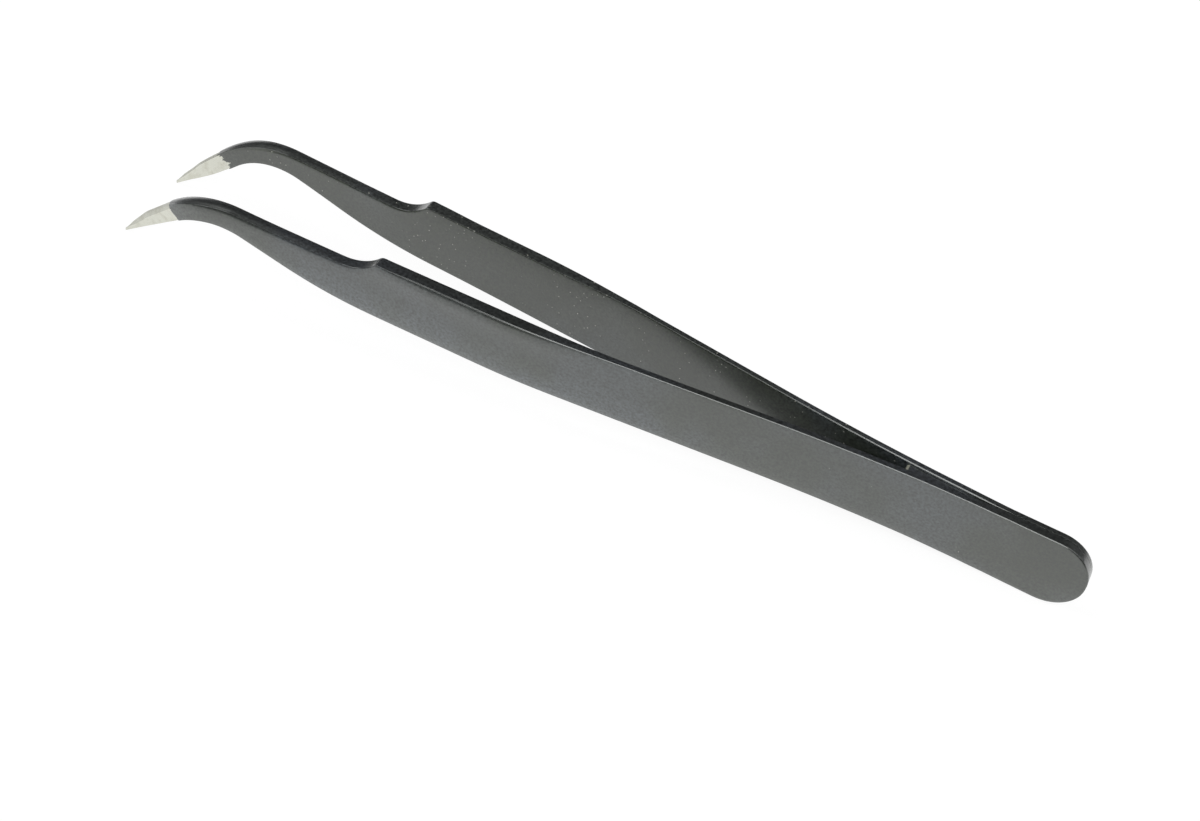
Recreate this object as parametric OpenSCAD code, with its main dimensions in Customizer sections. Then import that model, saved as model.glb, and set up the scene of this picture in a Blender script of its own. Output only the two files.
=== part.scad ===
// Curved-tip tweezers, standing on edge: two bowed spring arms welded over a small wedge at the tail.
// Blade frame of the formulas below: x runs from the butt to the points, y is the distance out from the
// plane between the arms, and z is the height over the middle line of the blade.

/* [Blade] */
// Width across the blade at the tail
tail_w = 9.4; // [7:0.1:12]
// Corner radius of the round butt
tail_round = 4.5; // [2:0.1:4.5]
// Width across the blade at the crest of the finger notch
crest_w = 8.1; // [6.5:0.1:9]
// Distance from the butt to the crest of the notch
crest_x = 86; // [76:0.1:100]

/* [Notch and nose] */
// Depth of the notch below the crest
notch_drop = 2.35; // [1:0.05:3]
// Radius of the notch
notch_r = 6.5; // [3.5:0.1:8]
// Distance from the crest to where the lower edge starts to rise
belly_len = 4.9; // [2:0.1:8]
// Radius that blends the lower edge into its rise
belly_r = 60; // [20:1:70]
// Distance from the crest to the inside corner of the bend
nose_len = 22.1; // [16:0.1:28]
// Height of the nose between the corners of the bend
neck_w = 1.6; // [1.2:0.05:2.5]

/* [Hooked tip] */
// How far the outside corner of the bend lies ahead of the inside corner
back_lead = 1.9; // [1.2:0.05:3]
// Radius on the outside of the bend
hook_r_out = 13.2; // [8:0.1:15]
// Radius on the inside of the bend
hook_r_in = 9.7; // [6:0.1:11]
// Length of the tip's lower edge, from the inside corner of the bend to the point
hook_len = 16.1; // [12:0.1:20]
// Slope of the tip's lower edge, in degrees
hook_low = 41.3; // [37:0.1:44]
// Slope of the last stretch of the tip's back, ground steeper, in degrees
grind_back = 52; // [48:0.1:58]
// Length of that last stretch
grind_len = 5.6; // [4:0.1:7]
// Width of the point, across the blade
point_w = 0.45; // [0.3:0.01:0.6]

/* [Bow of the arms] */
// Length over which the two arms lie face to face at the tail
weld_len = 10.9; // [8:0.1:11.5]
// Half angle of the wedge between the arms, in degrees
wedge_angle = 2.7; // [2:0.1:4]
// Distance from the butt to the middle of the outward bow
bow_x = 28.2; // [27:0.1:33]
// Steepest angle of an arm to the middle plane, in degrees
bow_angle = 6.7; // [6:0.1:8]
// Radius of the outward bow
bow_r = 300; // [150:5:340]
// Distance from the butt to where the inner face turns back
shoulder_x = 59.3; // [55:0.1:64]
// Angle of the grip's inner face to the middle plane, in degrees
grip_angle = 1.6; // [0.5:0.1:2.2]
// Distance from the points back to where the inner faces start to close in
close_len = 16.1; // [12:0.1:24]
// Angle at which the inner faces close in towards the points, in degrees
nose_angle = 1.4; // [0.5:0.1:2]

/* [Thickness of the steel] */
// Thickness of the ground spring part and of the tail
spring_t = 0.72; // [0.5:0.01:0.9]
// Thickness where the grip begins
grip_t = 1.5; // [1.2:0.01:1.8]
// Thickness at the nose, before the tip tapers
nose_t = 1.9; // [1.6:0.01:2.2]
// Distance from the points back to where the outer faces start to taper
taper_len = 10.4; // [8:0.1:14]
// Thickness of the point
point_t = 0.25; // [0.2:0.01:0.5]

/* [Wedge and coat] */
// Distance from the butt to the wedge's front face
wedge_x = 22.9; // [19:0.1:25]
// Distance from the butt to the wedge's thin end
wedge_back_x = 12; // [11.9:0.1:14]
// How far the wedge's upper and lower edges lie below those of the blade
wedge_sink = 0.3; // [0.1:0.05:1]
// Thickness of the epoxy coat
coat_t = 0.08; // [0.05:0.01:0.15]
// Length of the bare tip
bare_len = 10.2; // [7:0.05:12]
// Slant of the coat's edge, in degrees
coat_slant = 35; // [25:1:50]

/* [Flex point] */
// Distance from the butt to the line that the arm flexes about
flex_x = 36; // [32:0.5:39]
// Play between the rounded end of the moving arm and its seat
flex_play = 0.03; // [0.02:0.01:0.06]
// Gap in the coat on each side of the flex line
flex_gap = 0.15; // [0.1:0.01:0.3]

/* [Hidden] */
steel = [0.78, 0.78, 0.74];
spring_steel = [0.70, 0.71, 0.70];
epoxy = [0.17, 0.18, 0.19];

// Largest turn of one flat along a rounded corner, in degrees
ARC_STEP = 4;
// Radius that breaks the sharp corners of an outline
edge_break = 0.05;
// Radius at the bend beside the weld, at the shoulder, at the nose and at the start of the taper
weld_bend_r = 40;
shoulder_r = 100;
nose_r = 250;
taper_r = 20;
// Radius of the crest and of the break in the tip's back
crest_r = 0.8;
back_r = 8;
// Larger than the part in every direction
reach = 400;

// Corners are [across, up, radius]; an outline runs anticlockwise. A corner's arc takes up to 0.49 of its
// shorter side, or the share given as a fourth entry.
function flat(p) = [p.x, p.y];
function unit(v) = v / norm(v);
function left_of(v) = [-v.y, v.x];
function turn(u, v) = atan2(cross(u, v), u * v);
function spun(v, a) = [v.x * cos(a) - v.y * sin(a), v.x * sin(a) + v.y * cos(a)];

// Arc that rounds corner b between a and c, as points from one tangent point to the other
function corner_arc(a, b, c) =
    let (u = unit(flat(b) - flat(a)),
         v = unit(flat(c) - flat(b)),
         bend = turn(u, v),
         share = len(b) > 3 ? b[3] : 0.49,
         room = share * min(norm(flat(b) - flat(a)), norm(flat(c) - flat(b))),
         run = min(b[2] * tan(abs(bend) / 2), room),
         r = run / tan(abs(bend) / 2),
         from = flat(b) - run * u,
         centre = from + sign(bend) * r * left_of(u),
         flats = max(1, ceil(abs(bend) / ARC_STEP)))
    [for (i = [0 : flats]) centre + spun(from - centre, bend * i / flats)];

function rounded(corners) =
    let (n = len(corners))
    [for (i = [0 : n - 1])
        each corner_arc(corners[(i + n - 1) % n], corners[i], corners[(i + 1) % n])];

// The same corners with every edge moved outwards by d, and the radii to match
function grown(corners, d) =
    let (n = len(corners))
    [for (i = [0 : n - 1])
        let (a = flat(corners[(i + n - 1) % n]),
             b = flat(corners[i]),
             c = flat(corners[(i + 1) % n]),
             out_a = -left_of(unit(b - a)),
             out_b = -left_of(unit(c - b)),
             p = b + d * (out_a + out_b) / (1 + out_a * out_b))
        concat([p.x, p.y, corners[i][2] + sign(turn(b - a, c - b)) * d],
               len(corners[i]) > 3 ? [corners[i][3]] : [])];

// Where the line through p at angle a meets the line through q at angle b
function meet(p, a, q, b) =
    let (u = [cos(a), sin(a)], v = [cos(b), sin(b)])
    p + u * cross(q - p, v) / cross(u, v);

// Outline of a blade seen from its side, in x and z
nose_z = crest_w / 2 - notch_drop;
notch_steep = acos(1 - notch_drop / notch_r);
low_edge_angle = atan((tail_w - crest_w) / 2 / crest_x);
belly = [crest_x + belly_len, (crest_x + belly_len) * tan(low_edge_angle) - tail_w / 2];
throat = [crest_x + nose_len, nose_z - neck_w];
low_tip = throat + hook_len * spun([1, 0], -hook_low);
top_tip = low_tip + point_w * spun([1, 0], 90 - hook_low);
break_point = top_tip + grind_len * spun([1, 0], 180 - grind_back);
back_corner = [throat.x + back_lead, nose_z];
back_fall = back_corner - break_point;
back_slope = atan2(back_fall.y, -back_fall.x);
notch_foot = [crest_x + notch_drop / tan(notch_steep), nose_z];
face_corners = [
    [0, -tail_w / 2, tail_round],
    [belly.x, belly.y, belly_r],
    [throat.x, throat.y, hook_r_in],
    [low_tip.x, low_tip.y, point_w / 3],
    [top_tip.x, top_tip.y, point_w / 3],
    [break_point.x, break_point.y, back_r],
    [back_corner.x, back_corner.y, hook_r_out],
    [notch_foot.x, notch_foot.y, notch_r, 0.9],
    [crest_x, crest_w / 2, crest_r],
    [0, tail_w / 2, tail_round]];

// Outline of the left arm seen from above, in x and y
bow_in = [bow_x, (bow_x - weld_len) * tan(wedge_angle)];
shoulder_in = bow_in + (shoulder_x - bow_x) * [1, tan(bow_angle)];
nose_in = shoulder_in + (low_tip.x - close_len - shoulder_x) * [1, tan(grip_angle)];
point_in = nose_in + close_len * [1, -tan(nose_angle)];
weld_out = [weld_len, spring_t] - spring_t * tan(wedge_angle / 2) * [1, 0];
bow_out = meet(weld_out, wedge_angle, bow_in + spring_t / cos(bow_angle) * [0, 1], bow_angle);
shoulder_run = (grip_t - spring_t) / (tan(bow_angle) - tan(grip_angle));
shoulder_out = meet(bow_out, bow_angle, [shoulder_x + shoulder_run, 0], 90);
taper_out = point_in + taper_len * [-1, tan(nose_angle)] + [0, nose_t];
plan_corners = [
    [0, 0, edge_break],
    [weld_len, 0, weld_bend_r],
    [bow_in.x, bow_in.y, bow_r],
    [shoulder_in.x, shoulder_in.y, shoulder_r],
    [nose_in.x, nose_in.y, nose_r],
    [point_in.x, point_in.y, point_t / 3],
    [point_in.x, point_in.y + point_t, point_t / 3],
    [taper_out.x, taper_out.y, taper_r],
    [shoulder_out.x, shoulder_out.y, shoulder_r],
    [bow_out.x, bow_out.y, bow_r - spring_t],
    [weld_out.x, weld_out.y, weld_bend_r - spring_t],
    [0, spring_t, edge_break]];

// Flex line: on the middle of the strip, inside the arc of the bow
bow_run = bow_r * tan((bow_angle - wedge_angle) / 2);
bow_start = bow_in - bow_run * [cos(wedge_angle), sin(wedge_angle)];
bow_centre = bow_start + bow_r * spun([0, 1], wedge_angle);
flex_slope = asin((flex_x - bow_centre.x) / (bow_r - spring_t / 2));
flex_point = bow_centre + (bow_r - spring_t / 2) * spun([0, -1], flex_slope);
knuckle_r = spring_t / 2 - flex_play;

// Stance: the round butt and the points touch the table, and the origin is under the middle
butt_r = tail_round + coat_t;
butt_low = [tail_round, tail_round - tail_w / 2];
stance_span = low_tip - butt_low;
stance_lift = -atan2(stance_span.y, stance_span.x) - asin(butt_r / norm(stance_span));
butt_at = spun(butt_low, stance_lift);
tip_at = spun(low_tip, stance_lift);
back_at = butt_at.x - butt_r;
stance_shift = [-(back_at + tip_at.x) / 2, 0, butt_r - butt_at.y];

module on_table() {
    translate(stance_shift) rotate([0, -stance_lift, 0]) children();
}

// Solid that has the given plan and the blade's side outline, both with the coat's growth
module blade_solid(growth) {
    intersection() {
        translate([0, 0, -reach / 2]) linear_extrude(reach) children();
        rotate([90, 0, 0]) linear_extrude(reach, center = true)
            polygon(rounded(grown(face_corners, growth)));
    }
}

module arm_plan(growth = 0) {
    polygon(rounded(grown(plan_corners, growth)));
}

// Half plane before or after the flex line, set back by a distance along the arm
module after_flex(distance) {
    translate(flex_point) rotate(flex_slope) translate([distance, -reach / 2]) square(reach);
}

module before_flex(distance) {
    translate(flex_point) rotate(flex_slope) translate([-reach - distance, -reach / 2]) square(reach);
}

module outer_side() {
    translate([-reach / 2, 0]) square(reach);
}

module whole_arm() {
    blade_solid(0) arm_plan();
}

// Everything past the coat's slanted edge at the tip
module past_coat_edge() {
    tip_slope = (hook_low + back_slope) / 2;
    translate([low_tip.x - bare_len * cos(tip_slope), 0, low_tip.y + bare_len * sin(tip_slope)])
        rotate([0, -coat_slant, 0]) translate([-reach / 2, -reach / 2, -reach])
            cube(reach);
}

// Rear end of one arm, welded at the tail, with the seat that the moving part turns in
module tail_strip() {
    blade_solid(0) difference() {
        intersection() {
            arm_plan();
            before_flex(flex_gap);
        }
        translate(flex_point) circle(knuckle_r + flex_play, $fn = 48);
    }
}

// Moving part of one arm: spring, grip, nose and bare point in one strip of steel
module arm_strip() {
    blade_solid(0) union() {
        intersection() {
            arm_plan();
            after_flex(0);
        }
        translate(flex_point) circle(knuckle_r, $fn = 48);
    }
}

// Everything nearer the middle plane than the middle of the strip, beside the wedge
module inside_strip() {
    translate([weld_len, spring_t / 2]) rotate(wedge_angle) translate([-reach / 2, -reach]) square(reach);
}

module wedge_plan(growth = 0) {
    difference() {
        intersection() {
            translate([wedge_back_x, -reach / 2]) square([wedge_x + growth - wedge_back_x, reach]);
            inside_strip();
            mirror([0, 1]) inside_strip();
        }
        arm_plan();
        mirror([0, 1]) arm_plan();
    }
}

// The wedge, with the coat's growth in height and at its front
module wedge_solid(growth) {
    half_w = tail_w / 2 - wedge_x * tan(low_edge_angle) - wedge_sink + growth;
    linear_extrude(2 * half_w, center = true) wedge_plan(growth);
}

// Coat over one moving arm, from the flex line to its edge near the point
module arm_coat() {
    difference() {
        blade_solid(coat_t) intersection() {
            arm_plan(coat_t);
            after_flex(flex_gap);
        }
        whole_arm();
        past_coat_edge();
    }
}

module left_tail() {
    color(spring_steel) on_table() tail_strip();
}

module right_tail() {
    color(spring_steel) on_table() mirror([0, 1, 0]) tail_strip();
}

module tail_wedge() {
    color(spring_steel) on_table() wedge_solid(0);
}

// One skin over the welded tail, which closes the seam between the arms
module tail_coat() {
    color(epoxy) on_table() difference() {
        union() {
            for (side = [0, 1]) mirror([0, side, 0])
                blade_solid(coat_t) intersection() {
                    arm_plan(coat_t);
                    before_flex(flex_gap);
                    outer_side();
                }
            wedge_solid(coat_t);
        }
        whole_arm();
        mirror([0, 1, 0]) whole_arm();
        wedge_solid(0);
    }
}

module left_arm() {
    color(steel) on_table() arm_strip();
}

module right_arm() {
    color(steel) on_table() mirror([0, 1, 0]) arm_strip();
}

module left_arm_coat() {
    color(epoxy) on_table() arm_coat();
}

module right_arm_coat() {
    color(epoxy) on_table() mirror([0, 1, 0]) arm_coat();
}

left_tail();
right_tail();
tail_wedge();
tail_coat();
left_arm();
right_arm();
left_arm_coat();
right_arm_coat();
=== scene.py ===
import math

import bmesh
import bpy
import numpy as np
from mathutils import Matrix, Vector


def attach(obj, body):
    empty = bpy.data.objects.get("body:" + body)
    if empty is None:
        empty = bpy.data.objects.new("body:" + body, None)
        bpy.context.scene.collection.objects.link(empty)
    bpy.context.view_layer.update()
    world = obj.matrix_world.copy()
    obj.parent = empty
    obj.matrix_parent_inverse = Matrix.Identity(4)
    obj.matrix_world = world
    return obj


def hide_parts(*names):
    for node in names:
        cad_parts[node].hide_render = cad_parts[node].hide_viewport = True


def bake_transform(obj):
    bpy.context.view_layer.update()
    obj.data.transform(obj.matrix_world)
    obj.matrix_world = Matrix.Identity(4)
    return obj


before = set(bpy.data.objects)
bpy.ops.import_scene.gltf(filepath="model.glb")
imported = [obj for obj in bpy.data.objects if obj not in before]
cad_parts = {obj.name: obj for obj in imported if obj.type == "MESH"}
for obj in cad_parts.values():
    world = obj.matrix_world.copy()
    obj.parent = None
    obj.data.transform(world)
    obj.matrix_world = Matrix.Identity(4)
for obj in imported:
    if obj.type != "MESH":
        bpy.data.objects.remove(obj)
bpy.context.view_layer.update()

# Left arm, the steel strip.
# One strip of stainless spring steel, blanked to its side outline, ground thin in the tail and the spring
# part and left thick in the grip. It is bowed outwards and its nose is hooked down and ground to a point.
tail_w = 9.4
tail_round = 4.5
crest_w = 8.1
crest_x = 86.0
crest_r = 0.8
notch_drop = 2.35
notch_r = 6.5
notch_share = 0.9
belly_len = 4.9
belly_r = 60.0
nose_len = 22.1
neck_w = 1.6
back_lead = 1.9
back_r = 8.0
hook_r_out = 13.2
hook_r_in = 9.7
hook_len = 16.1
hook_low = math.radians(41.3)
grind_back = math.radians(52.0)
grind_len = 5.6
point_w = 0.45
point_rise = 0.65 * point_w
weld_len = 10.9
wedge_x = 22.9
wedge_angle = math.radians(2.7)
bow_x = 28.2
bow_angle = math.radians(6.7)
bow_r = 300.0
shoulder_x = 59.3
grip_angle = math.radians(1.6)
close_len = 16.1
nose_angle = math.radians(1.4)
spring_t = 0.72
grip_t = 1.5
nose_t = 1.9
taper_len = 10.4
point_t = 0.25
coat_t = 0.08
shoulder_r = 100.0
nose_r = 250.0
weld_bend_r = 40.0
taper_r = 20.0
path_step = 0.05


def toward(angle, length=1.0):
    """Vector of the given length at the given angle."""
    return length * np.array([math.cos(angle), math.sin(angle)])


def lengths_along(path):
    """Length along a path from its start to each of its points."""
    return np.r_[0, np.cumsum(np.linalg.norm(np.diff(path, axis=0), axis=1))]


def rounded_path(corners, arc_points=60):
    """Open path through corners (across, up, radius). Each inner corner is replaced by the arc of its
    radius that touches both sides, and the path is sampled at even steps along its length."""
    sharp = [np.array(c[:2], float) for c in corners]
    path = [sharp[0][None]]
    for k in range(1, len(corners) - 1):
        before, corner, after = sharp[k - 1:k + 2]
        came = (corner - before) / np.linalg.norm(corner - before)
        goes = (after - corner) / np.linalg.norm(after - corner)
        bend = math.atan2(came[0] * goes[1] - came[1] * goes[0], came @ goes)
        r = corners[k][2]
        run = r * math.tan(abs(bend) / 2)
        start = corner - run * came
        centre = start + math.copysign(r, bend) * np.array([-came[1], came[0]])
        turned = bend * np.linspace(0, 1, arc_points)[:, None]
        spoke = start - centre
        path.append(centre + np.cos(turned) * spoke + np.sin(turned) * np.array([-spoke[1], spoke[0]]))
    path = np.vstack(path + [sharp[-1][None]])
    length = lengths_along(path)
    even = np.linspace(0, length[-1], int(length[-1] / path_step))
    return np.stack([np.interp(even, length, path[:, k]) for k in (0, 1)], 1)


# Upper and lower edge of the blade, both from the middle of the butt to the point
nose_z = crest_w / 2 - notch_drop
notch_run = notch_drop / math.tan(math.acos(1 - notch_drop / notch_r))
low_rise = (tail_w - crest_w) / 2 / crest_x
belly = (crest_x + belly_len, (crest_x + belly_len) * low_rise - tail_w / 2)
throat = np.array([crest_x + nose_len, nose_z - neck_w])
low_tip = throat + toward(-hook_low, hook_len)
top_tip = low_tip + [0, point_rise]
break_point = low_tip + toward(math.pi / 2 - hook_low, point_w) + toward(math.pi - grind_back, grind_len)
upper_edge = rounded_path([
    (0, 0), (0, tail_w / 2, tail_round), (crest_x, crest_w / 2, crest_r),
    (crest_x + notch_run, nose_z, notch_share * notch_r), (throat[0] + back_lead, nose_z, hook_r_out),
    (*break_point, back_r), tuple(top_tip)])
lower_edge = rounded_path([
    (0, 0), (0, -tail_w / 2, tail_round), (*belly, belly_r), (*throat, hook_r_in), tuple(low_tip)])

# Outer and inner face of the strip seen from above
bow_in = np.array([bow_x, (bow_x - weld_len) * math.tan(wedge_angle)])
shoulder_in = bow_in + (shoulder_x - bow_x) * np.array([1, math.tan(bow_angle)])
nose_in = shoulder_in + (low_tip[0] - close_len - shoulder_x) * np.array([1, math.tan(grip_angle)])
point_in = nose_in + close_len * np.array([1, -math.tan(nose_angle)])
weld_out = np.array([weld_len - spring_t * math.tan(wedge_angle / 2), spring_t])
bow_lift = bow_in[1] + spring_t / math.cos(bow_angle) - bow_in[0] * math.tan(bow_angle)
bow_out_x = (weld_out[1] - weld_out[0] * math.tan(wedge_angle) - bow_lift) / (
    math.tan(bow_angle) - math.tan(wedge_angle))
bow_out = np.array([bow_out_x, bow_lift + bow_out_x * math.tan(bow_angle)])
step_run = (grip_t - spring_t) / (math.tan(bow_angle) - math.tan(grip_angle))
shoulder_out = bow_out + (shoulder_x + step_run - bow_out_x) * np.array([1, math.tan(bow_angle)])
taper_out = point_in + taper_len * np.array([-1, math.tan(nose_angle)]) + [0, nose_t]
inner_face = rounded_path([
    (0, 0), (weld_len, 0, weld_bend_r), (*bow_in, bow_r), (*shoulder_in, shoulder_r),
    (*nose_in, nose_r), tuple(point_in)])
outer_face = rounded_path([
    (0, spring_t), (*weld_out, weld_bend_r), (*bow_out, bow_r), (*shoulder_out, shoulder_r),
    (*taper_out, taper_r), (point_in[0], point_in[1] + point_t)])

# Stations along the arm are numbered by x up to the bend, and by length from there to the point
bend_from, bend_to, arm_end = 103.6, 113.2, 122.6
upper_bend_x = (104.2, 113.9)
lower_bend_x = (103.3, 111.8)


def edge_along(edge, bend_x, half_window=30):
    """Samples of an edge against the station number, each with its inward direction, which is the
    edge's normal averaged over 3 mm so that it turns smoothly past the crest of the notch."""
    length = lengths_along(edge)
    marks = np.interp([tail_round, crest_x, *bend_x], edge[:, 0], length)
    station = np.interp(length, [0, *marks, length[-1]],
                        [0, tail_round, crest_x, bend_from, bend_to, arm_end])
    heading = np.unwrap(np.arctan2(*np.gradient(edge, axis=0).T[::-1]))
    window = np.hanning(2 * half_window + 1)
    smooth = np.convolve(np.pad(heading, half_window, "edge"), window / window.sum(), "valid")
    inward = smooth - math.copysign(math.pi / 2, edge[len(edge) // 2, 1])
    return station, edge[:, 0], edge[:, 1], np.cos(inward), np.sin(inward)


upper = edge_along(upper_edge, upper_bend_x)
lower = edge_along(lower_edge, lower_bend_x)

# Each corner of the section rolls over slowly from the face, then turns onto a narrow facet and then onto
# the edge. Keys are stations; columns are roll length, roll tilt, facet length, its radius and facet tilt.
outer_top = {0: (.12, 15, .10, .06, 45), 20: (.12, 15, .08, .06, 45), 36: (.25, 18, .08, .05, 45),
             58: (.30, 22, .07, .05, 45), 66: (.90, 29, .12, .05, 45), 72: (.92, 30, .17, .05, 45),
             80: (.94, 30, .16, .05, 45), 86: (.55, 25, .04, .08, 45), 88: (.62, 28, .04, .08, 45),
             95: (.85, 33, .01, .05, 45), 108: (.85, 33, .005, .05, 45), 111.5: (.45, 26, .05, .05, 45),
             113: (.06, 10, .40, .05, 31), 117: (.05, 10, .45, .04, 35), 118.5: (.05, 10, .42, .04, 36),
             121: (.03, 10, .24, .03, 36), 122.4: (.02, 10, .08, .02, 40)}
inner_top = {0: (.02, 10, .005, .01, 45), 10.5: (.02, 10, .005, .01, 45), 14: (.10, 25, .12, .05, 45),
             50: (.10, 25, .10, .05, 45), 62: (.10, 25, .03, .05, 45), 86: (.10, 25, .03, .05, 45),
             92: (.45, 22, .01, .06, 45), 108: (.45, 22, .01, .06, 45), 114: (.10, 20, .06, .04, 45)}
outer_low = {0: (.20, 12, .04, .06, 45), 20: (1.20, 10, .04, .08, 45), 70: (1.20, 12, .05, .10, 45),
             108: (.90, 11, .05, .10, 45), 114: (.30, 10, .06, .05, 45)}
inner_low = {0: (.02, 10, .005, .01, 45), 10.5: (.02, 10, .005, .01, 45), 15: (.20, 12, .03, .06, 45),
             50: (.20, 12, .03, .06, 45), 56: (.06, 10, .01, .03, 45), 74: (.06, 10, .01, .03, 45),
             80: (.20, 12, .03, .06, 45), 110: (.20, 12, .03, .06, 45)}
# Points of a corner: their share of the way to the facet, then past it
corner_tilt = np.r_[0, .11, .22, .36, .49, .62, .80, 1, 1, 1.22, 1.47, 1.73, 2]
past_facet = np.array([0] * 8 + [1] * 5)
# Most of the thickness or the width that two corners together may take, and the least width at the butt
corner_share = 0.8
butt_room = 0.56
# How far the faces fall away towards the edges, over what length that fades out along the nose, and how
# far the upper half of the outer face swells in the grip
crown_top, crown_low, crown_in = 0.04, 0.20, 0.02
crown_fade = 14.0
lip_out = 0.20
lip_half_w = crest_w / 2 - 1
# Tables of (place, size): where the lip swells, how far the upper edge lies lower over the grip, how high
# it is crowned along the nose, and how the corners shrink at the point
lip_along = np.array([(56, 0), (66, 1), (84, 1), (94, 0)])
grip_drop = np.array([(58, 0), (68, .07), (85, .07), (88, 0)])
nose_crown = np.array([(88, 0), (95, .15)])
point_fade = np.array([(120.6, 1), (122.3, .2)])
# How far the left arm's outer face stands prouder, and how far the right arm's lower edge lies lower
proud = np.array([(9, .42), (12, .38), (14, .27), (17, .19), (20, .13), (26, .11), (62, .10), (84, 0)])
fuller = np.array([(30, 0), (48, .36), (60, .41), (66, .30), (70, .19), (74, .09), (78, .04), (84, 0)])
# Bell curves (depth, middle, width) by which the right arm's tip is ground lower, on its back and below
ground_back = (0.17, 118.6, 2.2)
ground_belly = (0.50, 116.8, 4.0)


def bell(station, depth, middle, width):
    """Height of a bell curve at the stations."""
    return depth * np.exp(-((station - middle) / width) ** 2)


def corner_shape(corner, station, tilt, past, scale):
    """Distance gained towards the edge and inset from the face at a point of a corner. tilt runs from 0 to
    1 up to the facet and to 2 at the edge. An arc of radius r from tilt a to tilt b gains r (sin b - sin a)
    and insets r (cos a - cos b); the facet adds its length times the cosine and sine of its tilt."""
    keys = np.array(list(corner))
    columns = [np.interp(station, keys, c) for c in np.array(list(corner.values())).T]
    roll, roll_tilt, facet, radius, facet_tilt = columns
    roll_tilt, facet_tilt = np.radians(roll_tilt), np.radians(facet_tilt)
    tilt = np.minimum(tilt, 1) * facet_tilt + np.maximum(tilt - 1, 0) * (math.pi / 2 - facet_tilt)
    first = np.minimum(tilt, roll_tilt)
    second = np.clip(tilt, roll_tilt, facet_tilt)
    third = np.maximum(tilt, facet_tilt)
    wide = roll / roll_tilt
    gained = (wide * np.sin(first) + radius * (np.sin(second) - np.sin(roll_tilt))
              + past * facet * np.cos(facet_tilt) + radius * (np.sin(third) - np.sin(facet_tilt)))
    inset = (wide * (1 - np.cos(first)) + radius * (np.cos(roll_tilt) - np.cos(second))
             + past * facet * np.sin(facet_tilt) + radius * (np.cos(facet_tilt) - np.cos(third)))
    return gained * scale, inset * scale


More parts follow.
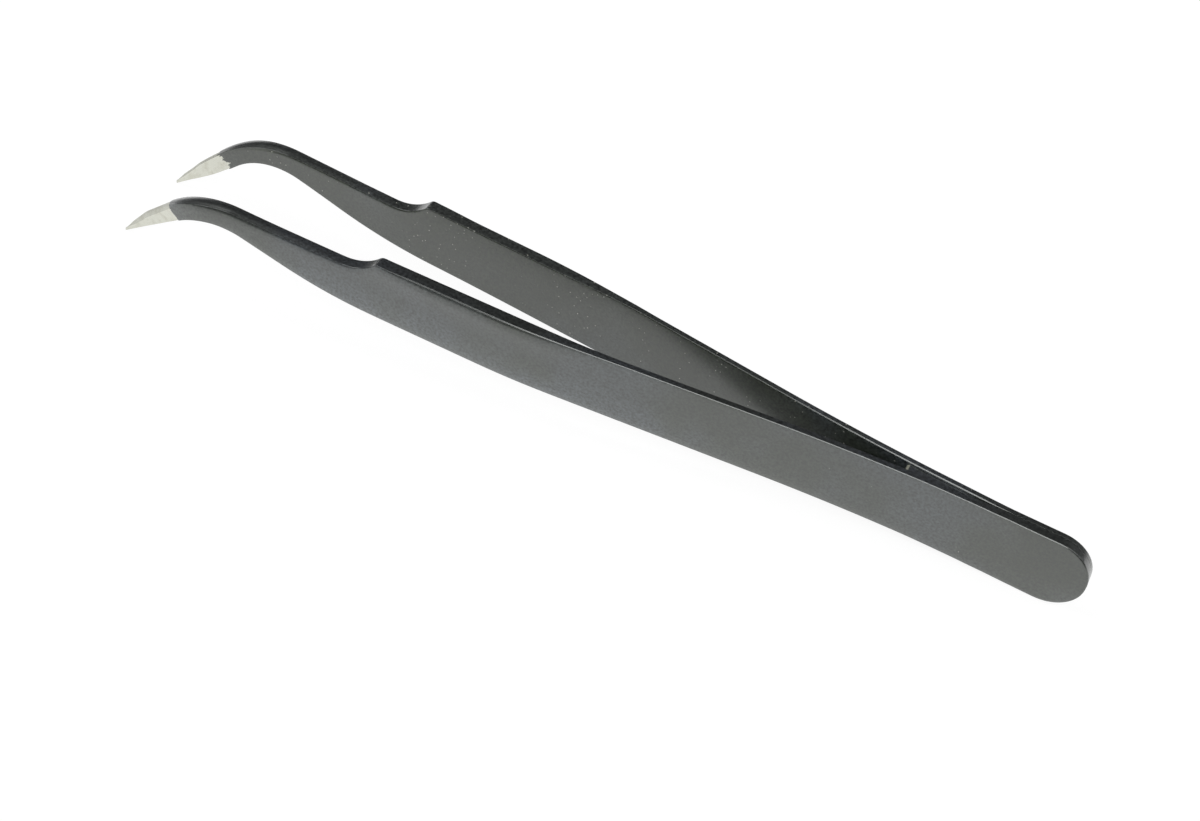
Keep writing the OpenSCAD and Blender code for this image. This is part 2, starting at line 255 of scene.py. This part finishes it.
def arm_skin(station, growth, right, face_points=20, edge_points=4):
    """Arm's surface, moved outwards by growth. Each station is a closed section: outer top corner,
    upper edge, inner top corner, inner face, inner low corner, lower edge, outer low corner, outer face.
    A corner point lies on the edge's inward direction at its depth, and inset from its face; points of a
    face or an edge lie evenly between the corners. station has a row for each section, and one column or
    a column for each point. right is 0 for the left arm, whose outer face stands prouder, and 1 for the
    right one, whose lower edge is fuller and whose tip is ground lower."""
    count = 4 * len(corner_tilt) + 2 * (face_points + edge_points)
    station = np.broadcast_to(station, (len(station), count))
    growth = np.broadcast_to(growth, station.shape)

    def along(curve):
        """Columns of a curve at the stations."""
        return [np.interp(station, curve[0], c) for c in curve[1:]]

    up_x, up_z, up_nx, up_nz = along(upper)
    low_x, low_z, low_nx, low_nz = along(lower)
    up_z = up_z - np.interp(station, *grip_drop.T) - right * bell(station, *ground_back)
    low_z = low_z - right * (bell(station, *ground_belly) + np.interp(station, *fuller.T))
    width = np.hypot(up_x - low_x, up_z - low_z)
    middle = (up_x + low_x) / 2
    thick = np.interp(middle, *outer_face.T) - np.interp(middle, *inner_face.T)

    def place(x, z, side, inset):
        """Distance from the middle plane of the outer face (side 1) or the inner face (side -1) at x and
        z. Each face is crowned by a parabola in z that fades out along the nose."""
        rise = (2 * z / tail_w) ** 2 * (1 - np.clip((x - crest_x) / crown_fade, 0, 1)) ** 2
        swell = np.interp(x, *lip_along.T) * np.clip(z / lip_half_w, 0, 1) ** 2
        crown = np.where(z > 0, crown_top, crown_low)
        out = np.interp(x, *outer_face.T) + growth - inset - crown * rise + lip_out * swell
        out = out + (1 - right) * np.interp(x, *proud.T)
        inn = np.maximum(np.interp(x, *inner_face.T) - growth, 0) + inset + crown_in * rise
        return np.where(side > 0, out, inn)

    # Corners in their order round the section: shape, side, whether it is an upper one, and its direction
    corners = [(outer_top, 1, True, 1), (inner_top, -1, True, -1),
               (inner_low, -1, False, 1), (outer_low, 1, False, -1)]
    one = np.ones(station.shape)
    full = [corner_shape(corner[0], station, 2 * one, one, one) for corner in corners]
    taken = np.maximum(full[0][1] + full[1][1], full[2][1] + full[3][1])
    scale = np.minimum(1, corner_share * thick / taken)
    room = np.where(station < tail_round, np.maximum(width, butt_room), width)
    scale = np.minimum(scale, corner_share * room / (full[0][0] + full[3][0]))
    scale = scale * np.interp(station, *point_fade.T)

    def corner_points(k, tilt, past):
        """Points of corner k at the tilts."""
        shape, side, is_upper, _ = corners[k]
        gained, inset = corner_shape(shape, station, tilt, past, scale)
        depth = full[k][0] * scale - gained - growth
        if is_upper:
            x, z = up_x + depth * up_nx, up_z + depth * up_nz
        else:
            x, z = low_x + depth * low_nx, low_z + depth * low_nz
        return np.stack([x, place(x, z, side, inset), z], -1)

    skin = np.zeros((*station.shape, 3))
    first = 0
    for k, gap in enumerate([edge_points, face_points, edge_points, face_points]):
        _, side, _, way = corners[k]
        columns = slice(first, first + len(corner_tilt))
        tilt = np.zeros(station.shape)
        past = np.zeros(station.shape)
        tilt[:, columns] = corner_tilt[::way]
        past[:, columns] = past_facet[::way]
        skin[:, columns] = corner_points(k, tilt, past)[:, columns]
        between = slice(columns.stop, columns.stop + gap)
        share = (np.arange(gap) + 1) / (gap + 1)
        on_edge = one * (gap == edge_points)
        a, b = [corner_points(n, 2 * on_edge, on_edge)[:, between] for n in (k, (k + 1) % 4)]
        skin[:, between] = a + share[:, None] * (b - a)
        if gap == face_points:
            skin[:, between, 1] = place(skin[..., 0], skin[..., 2], side, 0.0)[:, between]
        if k == 0:
            height = np.interp(station, *nose_crown.T)[:, between] * scale[:, between]
            bow = 4 * share * (1 - share) * height
            skin[:, between, 0] -= bow * up_nx[:, between]
            skin[:, between, 2] -= bow * up_nz[:, between]
        first = between.stop
    return skin


def stations(last=arm_end):
    """Station numbers, closest together at the butt, the notch, the bend and the point."""
    butt = tail_round * (1 - np.cos(np.linspace(0, math.pi / 2, 26)))
    row = np.r_[butt, np.arange(5.5, 84, 1.0), np.arange(84.2, 92, 0.2), np.arange(92.5, bend_from, 0.6),
                np.arange(bend_from, arm_end - 0.3, 0.25), arm_end - 0.17]
    return row[row <= last]


def domed_end(skin, reach, direction, rings=5):
    """The sections of skin and then a dome: ring k is the last section shrunk to cos(a) about its centre
    and moved by reach sin(a) along the direction, with a from 0 to 90 degrees."""
    last = skin[-1]
    centre = last.mean(0)
    a = np.linspace(0, math.pi / 2, rings + 1)[1:, None, None]
    dome = centre + (last - centre) * np.cos(a) + reach * np.sin(a) * direction
    return np.concatenate([skin, dome])


def grid_faces(rows, columns):
    """Quads of a grid of rows by columns whose columns close on themselves."""
    i, j = np.meshgrid(np.arange(rows - 1), np.arange(columns), indexing="ij")
    k = (j + 1) % columns
    quads = [i * columns + j, i * columns + k, (i + 1) * columns + k, (i + 1) * columns + j]
    return np.stack(quads, -1).reshape(-1, 4)


# Stance: the round butt and the points touch the table, with the origin under the middle
butt_r = tail_round + coat_t
butt_low = np.array([tail_round, tail_round - tail_w / 2])
span = low_tip - butt_low
stance_lift = -math.atan2(span[1], span[0]) - math.asin(butt_r / np.linalg.norm(span))
lift_cos, lift_sin = math.cos(stance_lift), math.sin(stance_lift)
lifted = np.array([[lift_cos, 0, -lift_sin], [0, 1, 0], [lift_sin, 0, lift_cos]])
butt_at = lifted @ [butt_low[0], 0, butt_low[1]]
tip_at = lifted @ [low_tip[0], 0, low_tip[1]]
stance_shift = np.array([-(butt_at[0] - butt_r + tip_at[0]) / 2, 0, butt_r - butt_at[2]])


def on_table(points):
    """Points of the blade frame in millimetres, turned and moved onto the table, in metres."""
    return (np.asarray(points) @ lifted.T + stance_shift) / 1000


def new_piece(name, points, faces, side=1):
    """Mesh object from points of the blade frame; side -1 mirrors it to the right arm. Its doubles are
    merged, its faces turned outwards by the sign of its volume, and blade_mm keeps each point's place."""
    points = points.reshape(-1, 3) * [1, side, 1]
    corners = points[faces]
    fan = np.cross(corners[:, 1] - corners[:, 0], corners[:, -1] - corners[:, 0])
    if (corners[:, 0] * fan).sum() < 0:
        faces = faces[:, ::-1]
    mesh = bpy.data.meshes.new(name)
    mesh.from_pydata(on_table(points).tolist(), [], faces.tolist())
    mesh.attributes.new("blade_mm", "FLOAT_VECTOR", "POINT").data.foreach_set("vector", points.ravel())
    merge_within = 0.000002
    made = bmesh.new()
    made.from_mesh(mesh)
    bmesh.ops.remove_doubles(made, verts=made.verts, dist=merge_within)
    bmesh.ops.dissolve_degenerate(made, edges=made.edges, dist=merge_within / 2)
    made.to_mesh(mesh)
    made.free()
    mesh.shade_smooth()
    piece = bpy.data.objects.new(name, mesh)
    bpy.context.scene.collection.objects.link(piece)
    return piece


def feed(tree, node, inputs):
    """Fills a node's inputs: a socket given for an input is linked to it, anything else is its value."""
    for key, given in inputs.items():
        if isinstance(given, bpy.types.NodeSocket):
            tree.links.new(given, node.inputs[key])
        else:
            node.inputs[key].default_value = given


def noise(tree, place, scale, detail):
    """Noise around 0.5 whose features lie 1 / scale mm apart."""
    node = tree.nodes.new("ShaderNodeTexNoise")
    feed(tree, node, {"Vector": place, "Scale": scale, "Detail": detail})
    return node.outputs["Fac"]


def apart(tree, vector):
    """Outputs X, Y and Z of a vector."""
    node = tree.nodes.new("ShaderNodeSeparateXYZ")
    feed(tree, node, {"Vector": vector})
    return node.outputs


def calculated(tree, operation, *given):
    """Result of a math node."""
    node = tree.nodes.new("ShaderNodeMath")
    node.operation = operation
    feed(tree, node, dict(enumerate(given)))
    return node.outputs["Value"]


def ranged(tree, value, start, stop, low, high):
    """low where the value is start or less, high where it is stop or more, and between them between."""
    node = tree.nodes.new("ShaderNodeMapRange")
    feed(tree, node, {"Value": value, "From Min": start, "From Max": stop, "To Min": low, "To Max": high})
    return node.outputs["Result"]


def ramp(tree, factor, stops, interpolation="LINEAR"):
    """Colour at the factor between stops of (position, colour)."""
    node = tree.nodes.new("ShaderNodeValToRGB")
    node.color_ramp.interpolation = interpolation
    elements = node.color_ramp.elements
    elements.remove(elements[1])
    elements[0].position = stops[0][0]
    elements[0].color = (*stops[0][1], 1)
    for position, colour in stops[1:]:
        elements.new(position).color = (*colour, 1)
    feed(tree, node, {"Fac": factor})
    return node.outputs["Color"]


def mixed(tree, blend, factor, a, b):
    """Colour a with colour b blended over it."""
    node = tree.nodes.new("ShaderNodeMix")
    node.data_type = "RGBA"
    node.blend_type = blend
    feed(tree, node, {"Factor": factor, "A": a, "B": b})
    return node.outputs["Result"]


def raised(tree, height, strength, distance):
    """Normal of a surface with the given height map."""
    node = tree.nodes.new("ShaderNodeBump")
    feed(tree, node, {"Height": height, "Strength": strength, "Distance": distance})
    return node.outputs["Normal"]


def new_finish(name):
    """Empty material: itself, its node tree, its shader, the place on the blade in millimetres and how
    far the surface faces up, from -1 to 1."""
    material = bpy.data.materials.new(name)
    material.use_nodes = True
    tree = material.node_tree
    place = tree.nodes.new("ShaderNodeAttribute")
    place.attribute_name = "blade_mm"
    surface = tree.nodes.new("ShaderNodeNewGeometry")
    facing_up = apart(tree, surface.outputs["Normal"])["Z"]
    return material, tree, tree.nodes["Principled BSDF"], place.outputs["Vector"], facing_up


def steel_finish():
    """Ground stainless steel: a warm grey metal whose roughness and height vary along fine lines that run
    across the tip, with faint blotches left by the grinding coolant. Where it faces up, on the back of each
    tip, it is painted darker as shade."""
    material, tree, shader, place, facing_up = new_finish("ground_steel")
    turned = tree.nodes.new("ShaderNodeMapping")
    feed(tree, turned, {"Vector": place, "Rotation": (0, -0.8, 0), "Scale": (14, 3, 3)})
    lines = noise(tree, turned.outputs["Vector"], 3.0, 4.0)
    tone = ramp(tree, noise(tree, place, 0.9, 6.0), [(0.30, (0.66, 0.655, 0.565)),
                                                     (0.52, (0.76, 0.765, 0.68))])
    # Painted shade: the colour is darker where the steel faces up
    painted_shade_up = ranged(tree, facing_up, 0.15, 0.50, 1.0, 0.70)
    feed(tree, shader, {
        "Metallic": 1.0,
        "Base Color": mixed(tree, "MULTIPLY", 1.0, tone, painted_shade_up),
        "Roughness": ranged(tree, lines, 0.0, 1.0, 0.17, 0.27),
        "Normal": raised(tree, lines, 0.06, 0.00001)})
    return material


ground_steel = steel_finish()
# The point ends in a small dome that leans a little forward of the hook's lower edge
dome_reach = 0.14
dome_slope = hook_low - 0.35
dome_direction = np.array([math.cos(dome_slope), 0, -math.sin(dome_slope)])
strip = domed_end(arm_skin(stations()[:, None], 0.0, right=0), dome_reach, dome_direction)
strip_faces = grid_faces(*strip.shape[:2])
left_steel = new_piece("left_arm_steel", strip, strip_faces)
left_steel.data.materials.append(ground_steel)
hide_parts("left_arm", "left_tail")
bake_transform(left_steel)

# Right arm, the steel strip.
# The mirror image of the left one, blanked in the same die and bowed the other way. Its tip is ground by
# hand too and came out a little lower, and its lower edge is a little fuller where the grip begins.
right_strip = domed_end(arm_skin(stations()[:, None], 0.0, right=1), dome_reach, dome_direction)
right_steel = new_piece("right_arm_steel", right_strip, strip_faces, side=-1)
right_steel.data.materials.append(ground_steel)
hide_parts("right_arm", "right_tail")
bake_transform(right_steel)

# Tail wedge.
# A small tapered filler of the same steel, spot-welded between the arms. It is narrower than the blade,
# so it lies below the arms' edges, and it sets how far the arms stand apart.
wedge_back_x = 12.0
wedge_sink = 0.3
wedge_w = tail_w - 2 * (wedge_x * low_rise + wedge_sink)
wedge_round = 0.10
thin_end = 0.003


def wedge_skin(growth, front_r, overlap, rows=50, roll_share=0.4):
    """Tapered filler: each station is an oblong as thick as the gap between the arms and as high as the
    wedge. Its corners have the radius front_r, or a share of its half thickness where that is thinner, and
    the last stations shrink on a quarter circle of that radius."""
    x = np.linspace(wedge_back_x, wedge_x + growth - front_r, rows)
    a = np.linspace(0, math.pi / 2, 10)[1:]
    shrink = np.r_[np.zeros(rows), front_r * (1 - np.cos(a))][:, None]
    x = np.r_[x, x[-1] + front_r * np.sin(a)][:, None]
    half = np.maximum(np.interp(x, *inner_face.T) + overlap, thin_end)
    high = wedge_w / 2 + growth - shrink
    roll = np.minimum(front_r, roll_share * half)
    quarter = np.linspace(0, math.pi / 2, 7)
    across, up = [], []
    for turn, side, top in ((0, 1, 1), (1, -1, 1), (2, -1, -1), (3, 1, -1)):
        a = quarter + turn * math.pi / 2
        across.append(side * (half - roll) + roll * np.cos(a))
        up.append(top * (high - roll) + roll * np.sin(a))
    across, up = np.concatenate(across, 1), np.concatenate(up, 1)
    return np.stack([np.broadcast_to(x, across.shape), across, up], -1)


def closed_ends(skin):
    """The skin with its first and last section closed by rings shrunk to their centres in four steps."""
    share = np.linspace(0, 1, 5)[1:, None, None]
    first, last = skin[:1], skin[-1:]
    front = last + share * (last.mean(1, keepdims=True) - last)
    rear = first + share[::-1] * (first.mean(1, keepdims=True) - first)
    return np.concatenate([rear, skin, front])


wedge = closed_ends(wedge_skin(0.0, wedge_round, 0.0))
wedge_steel = new_piece("wedge_steel", wedge, grid_faces(*wedge.shape[:2]))
wedge_steel.data.materials.append(ground_steel)
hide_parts("tail_wedge")
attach(wedge_steel, "tail")

# Coat on the arms.
# Black anti-static epoxy, sprayed and baked on after the points were masked. It is a closed skin 0.08 mm
# thick that softens the strip's corners and ends in a slanted edge a little behind each point.
bare_len = 10.2
coat_slant = math.radians(35)
edge_round = 0.07
# Growth of the coat's outer and inner surface over the steel
coat_outside = coat_t - 0.008
coat_inside = 0.002
# Beyond this station each column of the section runs to its own place on the coat's edge
ragged_from = 100.0
ragged_rows = 70
tip_slope = (hook_low + math.atan2(nose_z - break_point[1], break_point[0] - throat[0] - back_lead)) / 2
coat_end = low_tip - toward(-tip_slope, bare_len)


def coat_edge_stations(setback, raggedness, seed, right, step=0.05, waves=range(2, 60)):
    """Station at which each column of the section meets the slanted edge of the coat, moved along the arm
    back by the setback and by a sum of sines of the column's number, which makes the edge ragged."""
    row = np.arange(bend_from, arm_end, step)
    skin = arm_skin(row[:, None], coat_t, right)
    past = (skin[..., [0, 2]] - coat_end) @ np.array([math.sin(coat_slant), -math.cos(coat_slant)])
    meets = (past > 0).argmax(0)
    column = np.arange(skin.shape[1])
    rng = np.random.default_rng(seed)
    jags = sum(np.sin(2 * math.pi * (n * column / len(column) + rng.random())) * rng.normal() / n ** 0.4
               for n in waves)
    return row[meets] - setback + raggedness * jags


def coat_skin(setback, raggedness, seed, right):
    """Coat as one closed surface: out along the arm at full growth, round the edge on a quarter circle,
    and back along the steel."""
    end = coat_edge_stations(setback, raggedness, seed, right)
    base = stations(ragged_from)
    nose_start = base[-1] + 0.5
    tail_rows = np.broadcast_to(base[:, None], (len(base), len(end)))
    nose_rows = nose_start + (end - edge_round - nose_start) * np.linspace(0, 1, ragged_rows)[:, None]
    turn = np.linspace(0, math.pi / 2, 6)[1:, None]
    edge_rows = end - edge_round + edge_round * np.sin(turn)
    out_rows = np.concatenate([tail_rows, nose_rows, edge_rows])
    out_growth = np.r_[np.full(len(base) + ragged_rows, coat_outside), coat_outside * np.cos(turn[:, 0])]
    out_growth = np.maximum(out_growth, coat_inside)[:, None]
    back_rows = np.concatenate([tail_rows, nose_rows[:-1], edge_rows[-1:]])[::-1]
    outside = arm_skin(out_rows, out_growth, right)
    inside = arm_skin(back_rows, coat_inside, right)
    return np.concatenate([outside, inside[1:]])


def epoxy_finish(name, highlight_from):
    """Satin black epoxy under a clear skin: a near-black colour that drifts over centimetres and is more
    neutral where it faces up, a fine orange-peel height, and dust nibs and pits baked into it in swarms.
    Past the place along the blade given after the name, the coat is painted paler as a highlight."""
    material, tree, shader, place, facing_up = new_finish(name)
    x, y, z = apart(tree, place).values()
    # The colour drifts in a wave along the blade, and from the right arm to the left
    wave_turn, wave_start, wave_size = 0.1887, -2.81, 0.09
    drift_across = 0.022
    wave = calculated(tree, "SINE", calculated(tree, "MULTIPLY_ADD", x, wave_turn, wave_start))
    drift = calculated(tree, "MULTIPLY_ADD", wave, wave_size, noise(tree, place, 0.09, 2.0))
    drift = calculated(tree, "MULTIPLY_ADD", y, drift_across, drift)
    hue = ramp(tree, drift, [(0.35, (0.0125, 0.0160, 0.0085)), (0.50, (0.0235, 0.0280, 0.0220)),
                             (0.68, (0.0400, 0.0465, 0.0510))])
    hue = mixed(tree, "MIX", ranged(tree, facing_up, 0.35, 0.75, 0.0, 0.6), hue,
                (0.0190, 0.0195, 0.0225, 1))
    # Fine grain, and painted light: the colour is paler low on the left arm and high on the right one
    grain = ranged(tree, noise(tree, place, 3.2, 3.0), 0.3, 0.7, 0.20, 1.90)
    painted_light_gradient = ranged(tree, calculated(tree, "MULTIPLY", y, z), -20.0, 4.0, 1.75, 1.0)
    grained = mixed(tree, "MULTIPLY", 1.0, hue, calculated(tree, "MULTIPLY", grain, painted_light_gradient))
    # A nib or a pit lies in the middle of those cells whose red passes a limit that changes from place to
    # place and is lower on the right arm; their green picks pits, dull nibs and pale ones
    dust = tree.nodes.new("ShaderNodeTexVoronoi")
    feed(tree, dust, {"Vector": place, "Scale": 1.8})
    chance = tree.nodes.new("ShaderNodeSeparateColor")
    feed(tree, chance, {"Color": dust.outputs["Color"]})
    limit_middle, limit_across = 0.70, 0.09
    swarms = ranged(tree, noise(tree, place, 0.16, 3.0), 0.35, 0.65, -0.14, 0.26)
    limit = calculated(tree, "MULTIPLY_ADD", y, limit_across, limit_middle)
    limit = calculated(tree, "ADD", limit, swarms)
    speck = calculated(tree, "MULTIPLY", ranged(tree, dust.outputs["Distance"], 0.09, 0.17, 1.0, 0.0),
                       calculated(tree, "GREATER_THAN", chance.outputs["Red"], limit))
    kind = ramp(tree, chance.outputs["Green"], [(0.0, (0.004, 0.004, 0.004)), (0.35, (0.10, 0.10, 0.09)),
                                                (0.65, (0.50, 0.50, 0.44))], "CONSTANT")
    dusted = mixed(tree, "MIX", speck, grained, kind)
    # Painted highlight: past the given place along the blade the colour turns pale
    painted_highlight = ranged(tree, x, highlight_from, highlight_from + 0.12, 0.0, 1.0)
    peel = noise(tree, place, 2.2, 5.0)
    normal = raised(tree, calculated(tree, "ADD", peel, speck), 0.35, 0.000012)
    feed(tree, shader, {
        "Base Color": mixed(tree, "MIX", painted_highlight, dusted, (0.30, 0.30, 0.24, 1)),
        "Roughness": ranged(tree, peel, 0.0, 1.0, 0.28, 0.42),
        "Specular IOR Level": 1.0,
        "Specular Tint": (0.95, 1.0, 0.95, 1),
        "Coat Weight": 1.0,
        "Coat IOR": 1.6,
        "Coat Roughness": 0.20,
        "Coat Normal": normal,
        "Normal": normal})
    return material


# On the arms there is no painted highlight: it would start at a place beyond the points
black_epoxy = epoxy_finish("black_epoxy", arm_end + 10)
for name, arm, side, setback, raggedness, seed in (("left_coat", "left_arm", 1, 0.80, 0.012, 3),
                                                   ("right_coat", "right_arm", -1, -0.3, 0.11, 8)):
    skin = coat_skin(setback, raggedness, seed, right=(1 - side) // 2)
    coat = new_piece(name, skin, grid_faces(*skin.shape[:2]), side)
    coat.data.materials.append(black_epoxy)
    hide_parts(arm + "_coat", "tail_coat")
    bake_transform(coat)

# Coat on the wedge.
# The same epoxy where it runs over the filler between the arms. It lies a little below the arms' edges,
# ends in a rounded step at the front of the wedge, and thins to nothing where the arms meet.
cover_round = 0.28
cover_overlap = 0.03
wedge_cover = closed_ends(wedge_skin(coat_t, cover_round, cover_overlap - coat_t))
wedge_coat = new_piece("wedge_coat", wedge_cover, grid_faces(*wedge_cover.shape[:2]))
# The rounded step at the front of the wedge is painted pale, as a painted highlight
wedge_coat.data.materials.append(epoxy_finish("epoxy_painted_highlight", wedge_x - 0.30))
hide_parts("tail_coat")
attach(wedge_coat, "tail")

# Table.
# A plain white sheet. Rays from the eye and rays reflected in the metal and the coat see it nearly
# white, and it still takes the shadow of the tweezers.
table_half = 3
mirror_share = 0.68
glow_share = 0.8
table_mesh = bpy.data.meshes.new("table")
table_mesh.from_pydata([(-table_half, -table_half, 0), (table_half, -table_half, 0),
                        (table_half, table_half, 0), (-table_half, table_half, 0)], [], [(0, 1, 2, 3)])
table = bpy.data.objects.new("table", table_mesh)
bpy.context.scene.collection.objects.link(table)
sheet = bpy.data.materials.new("white_sheet")
sheet.use_nodes = True
tree = sheet.node_tree
matt = tree.nodes["Principled BSDF"]
feed(tree, matt, {"Base Color": (0.85, 0.85, 0.85, 1), "Roughness": 0.9, "Specular IOR Level": 0.0})
glow = tree.nodes.new("ShaderNodeEmission")
feed(tree, glow, {"Strength": 1.12})
ray = tree.nodes.new("ShaderNodeLightPath").outputs
mirrored = calculated(tree, "MULTIPLY", ray["Is Glossy Ray"], mirror_share)
seen = calculated(tree, "MAXIMUM", ray["Is Camera Ray"], mirrored)
seen = calculated(tree, "MAXIMUM", seen, ray["Is Transmission Ray"])
lit = tree.nodes.new("ShaderNodeMixShader")
feed(tree, lit, {"Fac": calculated(tree, "MULTIPLY", seen, glow_share), 1: matt.outputs["BSDF"],
                 2: glow.outputs["Emission"]})
feed(tree, tree.nodes["Material Output"], {"Surface": lit.outputs["Shader"]})
table_mesh.materials.append(sheet)

# Studio.
# A pale band at the horizon and a dim ceiling, with one wide soft lamp over the camera and a weaker one
# on each side, at a level at which a plain grey renders as it is written.
world = bpy.data.worlds.new("studio")
world.use_nodes = True
bpy.context.scene.world = world
tree = world.node_tree
direction = tree.nodes.new("ShaderNodeTexCoord").outputs["Generated"]
sky = ramp(tree, apart(tree, direction)["Z"], [(0.0, (0.13, 0.13, 0.14)), (0.12, (0.065, 0.065, 0.070)),
                                               (0.5, (0.035, 0.035, 0.038))])
feed(tree, tree.nodes["Background"], {"Color": sky})

photo_width = 1200
camera_turn = math.radians(194.249)
camera_height = math.radians(46.049)
camera_roll = math.radians(15.265)
camera_distance = 219.70
focal_pixels = 1943.2
aimed_at = np.array([60.0, 0.0, 4.0])
aim_shift = (0.655, 9.430)
back = np.array([math.sin(camera_turn) * math.cos(camera_height),
                 -math.cos(camera_turn) * math.cos(camera_height), math.sin(camera_height)])
level = np.array([math.cos(camera_turn), math.sin(camera_turn), 0])
over = np.cross(back, level)
right = level * math.cos(camera_roll) + over * math.sin(camera_roll)
over = over * math.cos(camera_roll) - level * math.sin(camera_roll)
eye = aimed_at - aim_shift[0] * right - aim_shift[1] * over + camera_distance * back


def turned_to(place, side_way, up_way, back_way):
    """Matrix that puts a camera at a place with its axes along the three directions."""
    made = np.eye(4)
    made[:3, 0], made[:3, 1], made[:3, 2], made[:3, 3] = side_way, up_way, back_way, place
    return Matrix(made.tolist())


camera_data = bpy.data.cameras.new("camera")
camera_data.sensor_width = 36.0
camera_data.sensor_fit = "HORIZONTAL"
camera_data.lens = focal_pixels / photo_width * camera_data.sensor_width
camera_data.clip_start = 0.01
camera_data.clip_end = 20.0
camera = bpy.data.objects.new("camera", camera_data)
bpy.context.scene.collection.objects.link(camera)
camera.matrix_world = turned_to(on_table(eye), lifted @ right, lifted @ over, lifted @ back)
bpy.context.scene.camera = camera


def soft_lamp(name, turn, height, distance, size, radiance):
    """Square lamp at a turn and a height in degrees, facing the tweezers. Its power gives the radiance."""
    turn, height = math.radians(turn), math.radians(height)
    away = Vector((math.sin(turn) * math.cos(height), -math.cos(turn) * math.cos(height), math.sin(height)))
    facing = away.to_track_quat("Z", "Y").to_matrix().to_4x4()
    data = bpy.data.lights.new(name, "AREA")
    data.size = size
    data.energy = radiance * math.pi * size ** 2
    lamp = bpy.data.objects.new(name, data)
    lamp.matrix_world = Matrix.Translation(away * distance) @ facing
    lamp.visible_camera = False
    bpy.context.scene.collection.objects.link(lamp)


soft_lamp("lamp_over_camera", turn=190, height=48, distance=0.9, size=0.50, radiance=3.4)
soft_lamp("lamp_left", turn=100, height=45, distance=0.9, size=0.6, radiance=2.8)
soft_lamp("lamp_right", turn=280, height=45, distance=0.9, size=0.6, radiance=2.8)

bpy.context.scene.view_settings.view_transform = "Standard"
